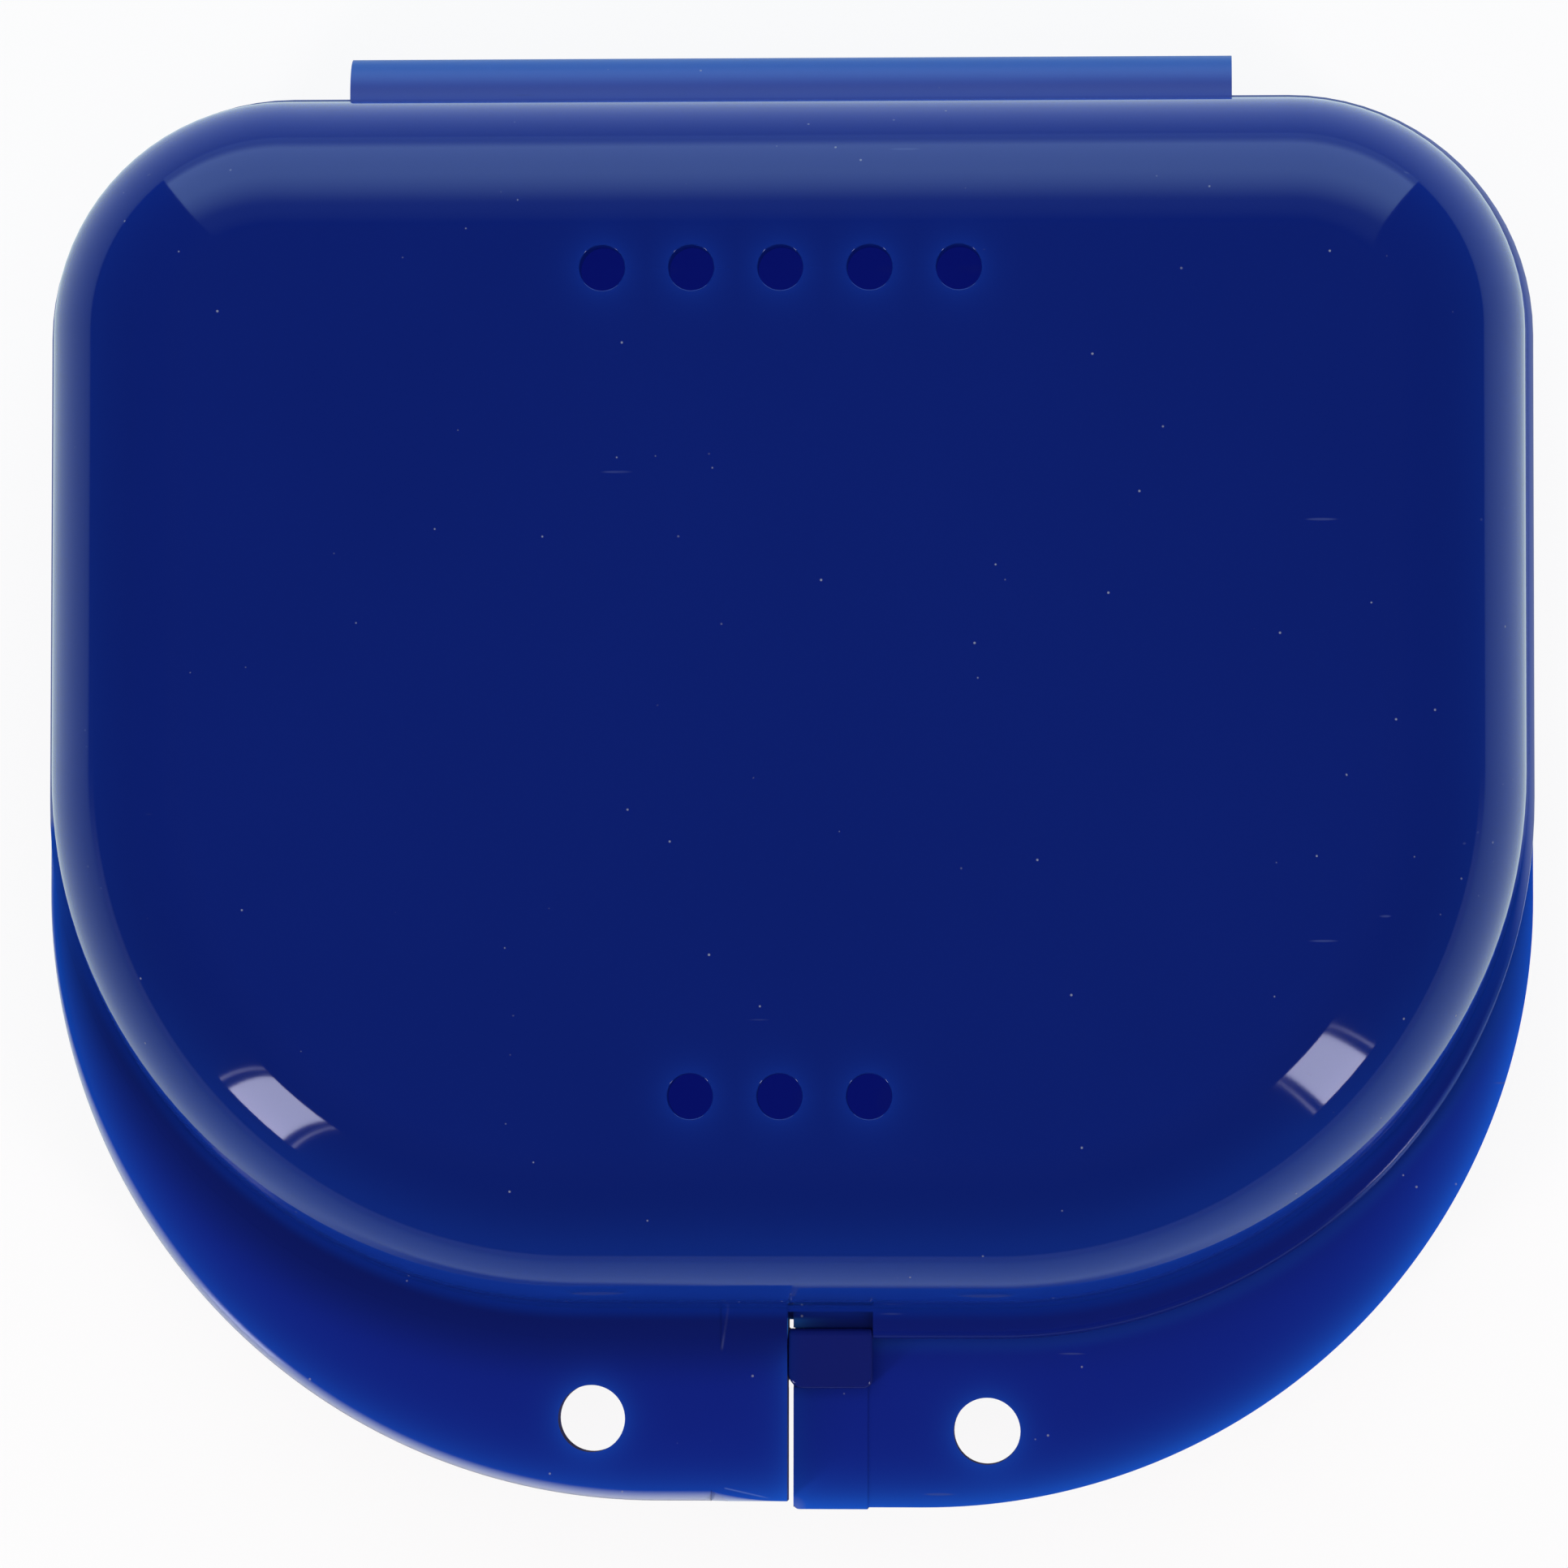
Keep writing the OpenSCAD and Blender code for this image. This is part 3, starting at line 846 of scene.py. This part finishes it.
blues = {
    "crown": (0.0038, 0.0142, 0.161), "wallLit": (0.0066, 0.043, 0.35), "within": (0.0020, 0.0046, 0.098),
    "flange": (0.0053, 0.0183, 0.264), "edgeLit": (0.010, 0.102, 0.63), "thinLit": (0.55, 0.66, 0.83),
    "root": (0.0040, 0.0117, 0.155), "footLit": (0.0030, 0.026, 0.285), "recessLit": (0.02, 0.18, 0.60),
    "ridge": (0.006, 0.034, 0.295), "ridgeLit": (0.08, 0.20, 0.62), "rimLit": (0.22, 0.28, 0.50),
    "glint": (0.18, 0.30, 0.75), "catch": (0.0078, 0.0152, 0.165), "catchSide": (0.003, 0.019, 0.19),
    "strapRootLight": (0.064, 0.112, 0.43), "strap": (0.042, 0.074, 0.35), "strapLit": (0.004, 0.100, 0.41),
}
shellLayers = [(wallLight, blues["wallLit"]), (ventGlow, blues["wallLit"])]
shellBlue = bluePlastic("shellBlue", blues["crown"], shellLayers)
insideBlue = bluePlastic("insideBlue", blues["crown"], within=blues["within"])
tabLayers = [
    (rootShade(lit["tabRoot"]), blues["root"]), (footLight, blues["footLit"]), (ridgeGlow, blues["ridge"]),
    (tabEdgeLight, blues["edgeLit"]), (thinEdgeLight, blues["thinLit"]), (panelHighlight, blues["rimLit"]),
    (slantHighlight, blues["glint"]), (cornerLight, blues["rimLit"]),
]
rimLayers = [
    (rootShade(lit["rimRoot"]), blues["root"]), (footLight, blues["footLit"]),
    (tabEdgeLight, blues["edgeLit"]), (recessLight, blues["recessLit"]), (strapRootLight, blues["strapRootLight"]),
    (rimEdgeLight, blues["rimLit"]), (ridgeEdgeLight, blues["ridgeLit"]),
]
flangeLook = {"roughness": finish["flangeRough"], "mirror": finish["flangeMirror"]}
tabBlue = bluePlastic("tabBlue", blues["flange"], tabLayers, **flangeLook)
rimBlue = bluePlastic("rimBlue", blues["flange"], rimLayers, **flangeLook)
catchBlue = bluePlastic("catchBlue", blues["catch"], [(catchSideLight, blues["catchSide"])])
strapLayers = [(strapLight, blues["strapLit"]), (strapFootLight, blues["strapRootLight"])]
strapBlue = bluePlastic("strapBlue", blues["strap"], strapLayers, roughness=finish["strapRough"])
print("finishes made")

# each piece: its finish, the body it rides on, the nodes it stands for and their slot
dressed = [
    (lidShell, [shellBlue, insideBlue], "lid", ["lid_shell"], "shell_plastic"),
    (baseShell, [shellBlue, insideBlue], "base", ["base_shell"], "shell_plastic"),
    (lidRim, [rimBlue], "lid", ["lid_rim"], "flange_plastic"),
    (baseRim, [rimBlue], "base", ["base_rim"], "flange_plastic"),
    (lidTab, [tabBlue], "lid", ["lid_finger_tab"], "flange_plastic"),
    (baseTab, [tabBlue], "base", ["base_finger_tab"], "flange_plastic"),
    (lidCatch, [catchBlue], "lid", ["lid_catch"], "flange_plastic"),
    (baseCatch, [catchBlue], "base", ["base_catch"], "flange_plastic"),
]
for piece, finishes, body, stoodFor, slotName in dressed:
    for place, made in enumerate(finishes):
        if place < len(piece.data.materials):
            piece.data.materials[place] = made
        else:
            piece.data.materials.append(made)
    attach(piece, body)
    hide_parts(*stoodFor)
for band in (lidBand, baseBand):
    band.data.materials.append(strapBlue)
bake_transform(lidBand)
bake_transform(baseBand)
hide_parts("lid_hinge_leaf", "hinge_spine")
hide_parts("base_hinge_leaf")
nodes["base_locating_lip"].material_slots[0].material = rimBlue

# white floor, two upright strip lamps in front, a wide soft box behind and a fill from above
studio = {
    "floor": 4.0, "floorDrop": -0.00005, "floorColour": 0.95, "shadowShare": 0.11,
    "room": 0.02, "skirt": (0.095, 0.07), "skirtFront": (0.1, -0.2), "eye": 0.022,
    "mirrorFar": 0.33, "mirrorNear": 0.53, "mirrorFade": 0.05, "mirrorFrom": (0.030, 0.025, 0.012),
    "mirrorColour": paint(0.95, 1.15, 1.14), "aside": 0.7, "asideMost": 0.12, "mirrorMost": 0.87,
    "tabShade": (38.0, 27.0), "shadeTurn": (-18.0, 0.0), "shadeNearer": 9.0, "shadeLeft": (-52.0, -28.0),
    "shadeRight": (48.0, 15.0), "shadeFront": (0.0, -20.0),
    "stripLeft": {"azimuth": -137.6, "spread": 8.8, "low": 18, "high": 52, "away": 0.6, "level": 12.0},
    "stripRight": {"azimuth": -40, "spread": 8, "low": 20, "high": 60, "away": 0.6, "level": 12.0},
    "stripColour": (1.0, 0.78, 0.79), "flap": {"beside": 1.5, "spread": 0.4, "level": 4.0},
    "box": {"away": 0.6, "half": 0.5, "low": 0.002, "high": 2.4, "level": 1.95,
            "colour": paint(0.84, 1.04, 1.2), "foot": 0.22, "rise": (0.045, 0.15),
            "fade": (0.24, 1.05), "tail": 0.13, "tailFade": (0.9, 2.3)},
    "fill": {"away": 1.1, "size": 0.9, "level": 2.17},
}


def hangLamp(name, place, towards, width, height, level, mirrored=True):
    lamp = bpy.data.lights.new(name, "AREA")
    lamp.shape = "RECTANGLE"
    lamp.size, lamp.size_y = width, height
    lamp.energy = level * math.pi * width * height
    holder = bpy.data.objects.new(name, lamp)
    holder.location = place
    holder.rotation_euler = towards.to_track_quat("Z", "Y").to_euler()
    holder.visible_glossy = mirrored
    bpy.context.scene.collection.objects.link(holder)
    return lamp


# an upright lamp between two elevations, seen from the case
def uprightLamp(name, own, azimuth, spread, level):
    a = math.radians(azimuth)
    towards = Vector((math.cos(a), math.sin(a), 0))
    low, high = [math.tan(math.radians(own[end])) * own["away"] + studio["eye"] for end in ("low", "high")]
    place = towards * own["away"] + Vector((0, 0, (low + high) / 2))
    width = 2 * own["away"] * math.tan(math.radians(spread / 2))
    hangLamp(name, place, towards, width, high - low, level).color = studio["stripColour"]


flap = studio["flap"]
for lampName in ("stripLeft", "stripRight"):
    own = studio[lampName]
    uprightLamp(lampName, own, own["azimuth"], own["spread"], own["level"])
    for side in (-1, 1):
        beside = own["azimuth"] + side * (own["spread"] / 2 + flap["beside"])
        uprightLamp(lampName + "Flap", own, beside, flap["spread"], flap["level"])
above = studio["fill"]
hangLamp("fill", Vector((0, 0, above["away"])), Vector((0, 0, 1)), above["size"], above["size"],
         above["level"], mirrored=False)


# a material for the stage, with its nodes still to come
def stageMaterial(name, piece):
    made = bpy.data.materials.new(name)
    made.use_nodes = True
    made.node_tree.nodes.clear()
    piece.data.materials.append(made)
    return Wire(made.node_tree)


def endMaterial(graph, shader):
    ending = graph.tree.nodes.new("ShaderNodeOutputMaterial")
    graph.tree.links.new(shader.socket, ending.inputs["Surface"])


# the soft box is brightest low down and fades out upwards
box = studio["box"]
deselectAll()
bpy.ops.mesh.primitive_plane_add(size=1)
softBox = bpy.context.object
softBox.name = "softBox"
bpy.ops.object.mode_set(mode="EDIT")
bpy.ops.transform.resize(value=(2 * box["half"], box["high"] - box["low"], 1))
bpy.ops.transform.rotate(value=math.pi / 2, orient_axis="X", center_override=(0, 0, 0))
bpy.ops.transform.translate(value=(0, box["away"], (box["high"] + box["low"]) / 2))
leaveEdit()
softBox.visible_camera = False
graph = stageMaterial("softBoxWhite", softBox)
height = axisOf(graph, graph.add("TexCoord", out="Object"), "Z")
level = box["foot"] + height.between(*box["rise"]) * (1 - box["foot"])
level = level * (1 - height.between(*box["fade"])) + (1 - height.between(*box["tailFade"])) * box["tail"]
glow = level.tint(paint(0, 0, 0), box["colour"])
endMaterial(graph, graph.add("Emission", sockets={"Color": glow, "Strength": box["level"]}))

# the floor is white to the camera, mirrored less and less bright further off, and keeps the shadow
deselectAll()
bpy.ops.mesh.primitive_plane_add(size=studio["floor"], location=(0, 0, studio["floorDrop"]))
floor = bpy.context.object
floor.name = "floor"
graph = stageMaterial("floorWhite", floor)
spot = graph.add("TexCoord", out="Object")
fromX, fromY, rounding = studio["mirrorFrom"]
outX = (axisOf(graph, spot, "X").size() - fromX).most(0.0)
outY = (axisOf(graph, spot, "Y").size() - fromY).most(0.0)
away = (span(outX, outY) - rounding).most(0.0)
mirrored = studio["mirrorFar"] + studio["mirrorNear"] / (1 + away / studio["mirrorFade"])
aside = axisOf(graph, spot, "X") - axisOf(graph, spot, "Y")
aside = aside.least(studio["asideMost"]).most(-studio["asideMost"])
mirrored = (mirrored * (1 + aside * studio["aside"])).least(studio["mirrorMost"])
# painted shadow in the mirrored floor just ahead of the tabs
floorX = axisOf(graph, spot, "X") / mm
nearer = floorX.between(*studio["shadeTurn"]) * studio["shadeNearer"]
shaded = (pastTab(graph, spot) + nearer).between(*studio["tabShade"])
shaded = shaded * floorX.between(*studio["shadeLeft"]) * floorX.between(*studio["shadeRight"])
mirrored = mirrored * (1 - shaded * (axisOf(graph, spot, "Y") / mm).between(*studio["shadeFront"]))
onCamera = graph.add("LightPath", out="Is Camera Ray")
onCamera = onCamera.most(graph.add("LightPath", out="Is Transmission Ray"))
white = onCamera.tint(mirrored.tint(paint(0, 0, 0), studio["mirrorColour"]), paint(1, 1, 1))
seen = onCamera.most(graph.add("LightPath", out="Is Glossy Ray"))
matt = graph.add("BsdfDiffuse", sockets={"Color": paint(*[studio["floorColour"]] * 3)})
plain = graph.add("Emission", sockets={"Color": white, "Strength": 1.0})
share = seen * (1 - studio["shadowShare"])
endMaterial(graph, graph.add("MixShader", sockets={0: share, 1: matt, 2: plain}))

world = bpy.data.worlds.new("room")
bpy.context.scene.world = world
world.use_nodes = True
sky = world.node_tree.nodes["Background"]
graph = Wire(world.node_tree)
onCamera = graph.add("LightPath", out="Is Camera Ray")
towards = graph.add("TexCoord", out="Generated")
low = axisOf(graph, towards, "Z").between(*studio["skirt"])
low = low * axisOf(graph, towards, "Y").between(*studio["skirtFront"])
room = low.tint(paint(*[studio["room"]] * 3), paint(*[studio["mirrorFar"]] * 3))
graph.feed(sky.inputs["Color"], onCamera.tint(room, paint(1, 1, 1)))
sky.inputs["Strength"].default_value = 1.0

# camera at the photograph's place: focal length in pixels of a square image
photoView = {
    "place": (19.67, -23.31, 446), "turn": (2.52, 2.648, 0.057),
    "focal": 9883.1, "image": 1932, "sensor": 36,
}
lens = bpy.data.cameras.new("photoCamera")
lens.sensor_width = photoView["sensor"]
lens.lens = photoView["focal"] / photoView["image"] * lens.sensor_width
camera = bpy.data.objects.new("photoCamera", lens)
camera.location = Vector(photoView["place"]) * mm
camera.rotation_euler = [math.radians(d) for d in photoView["turn"]]
bpy.context.scene.collection.objects.link(camera)
bpy.context.scene.camera = camera
bpy.context.scene.view_settings.view_transform = "Standard"
print("stage and camera set")
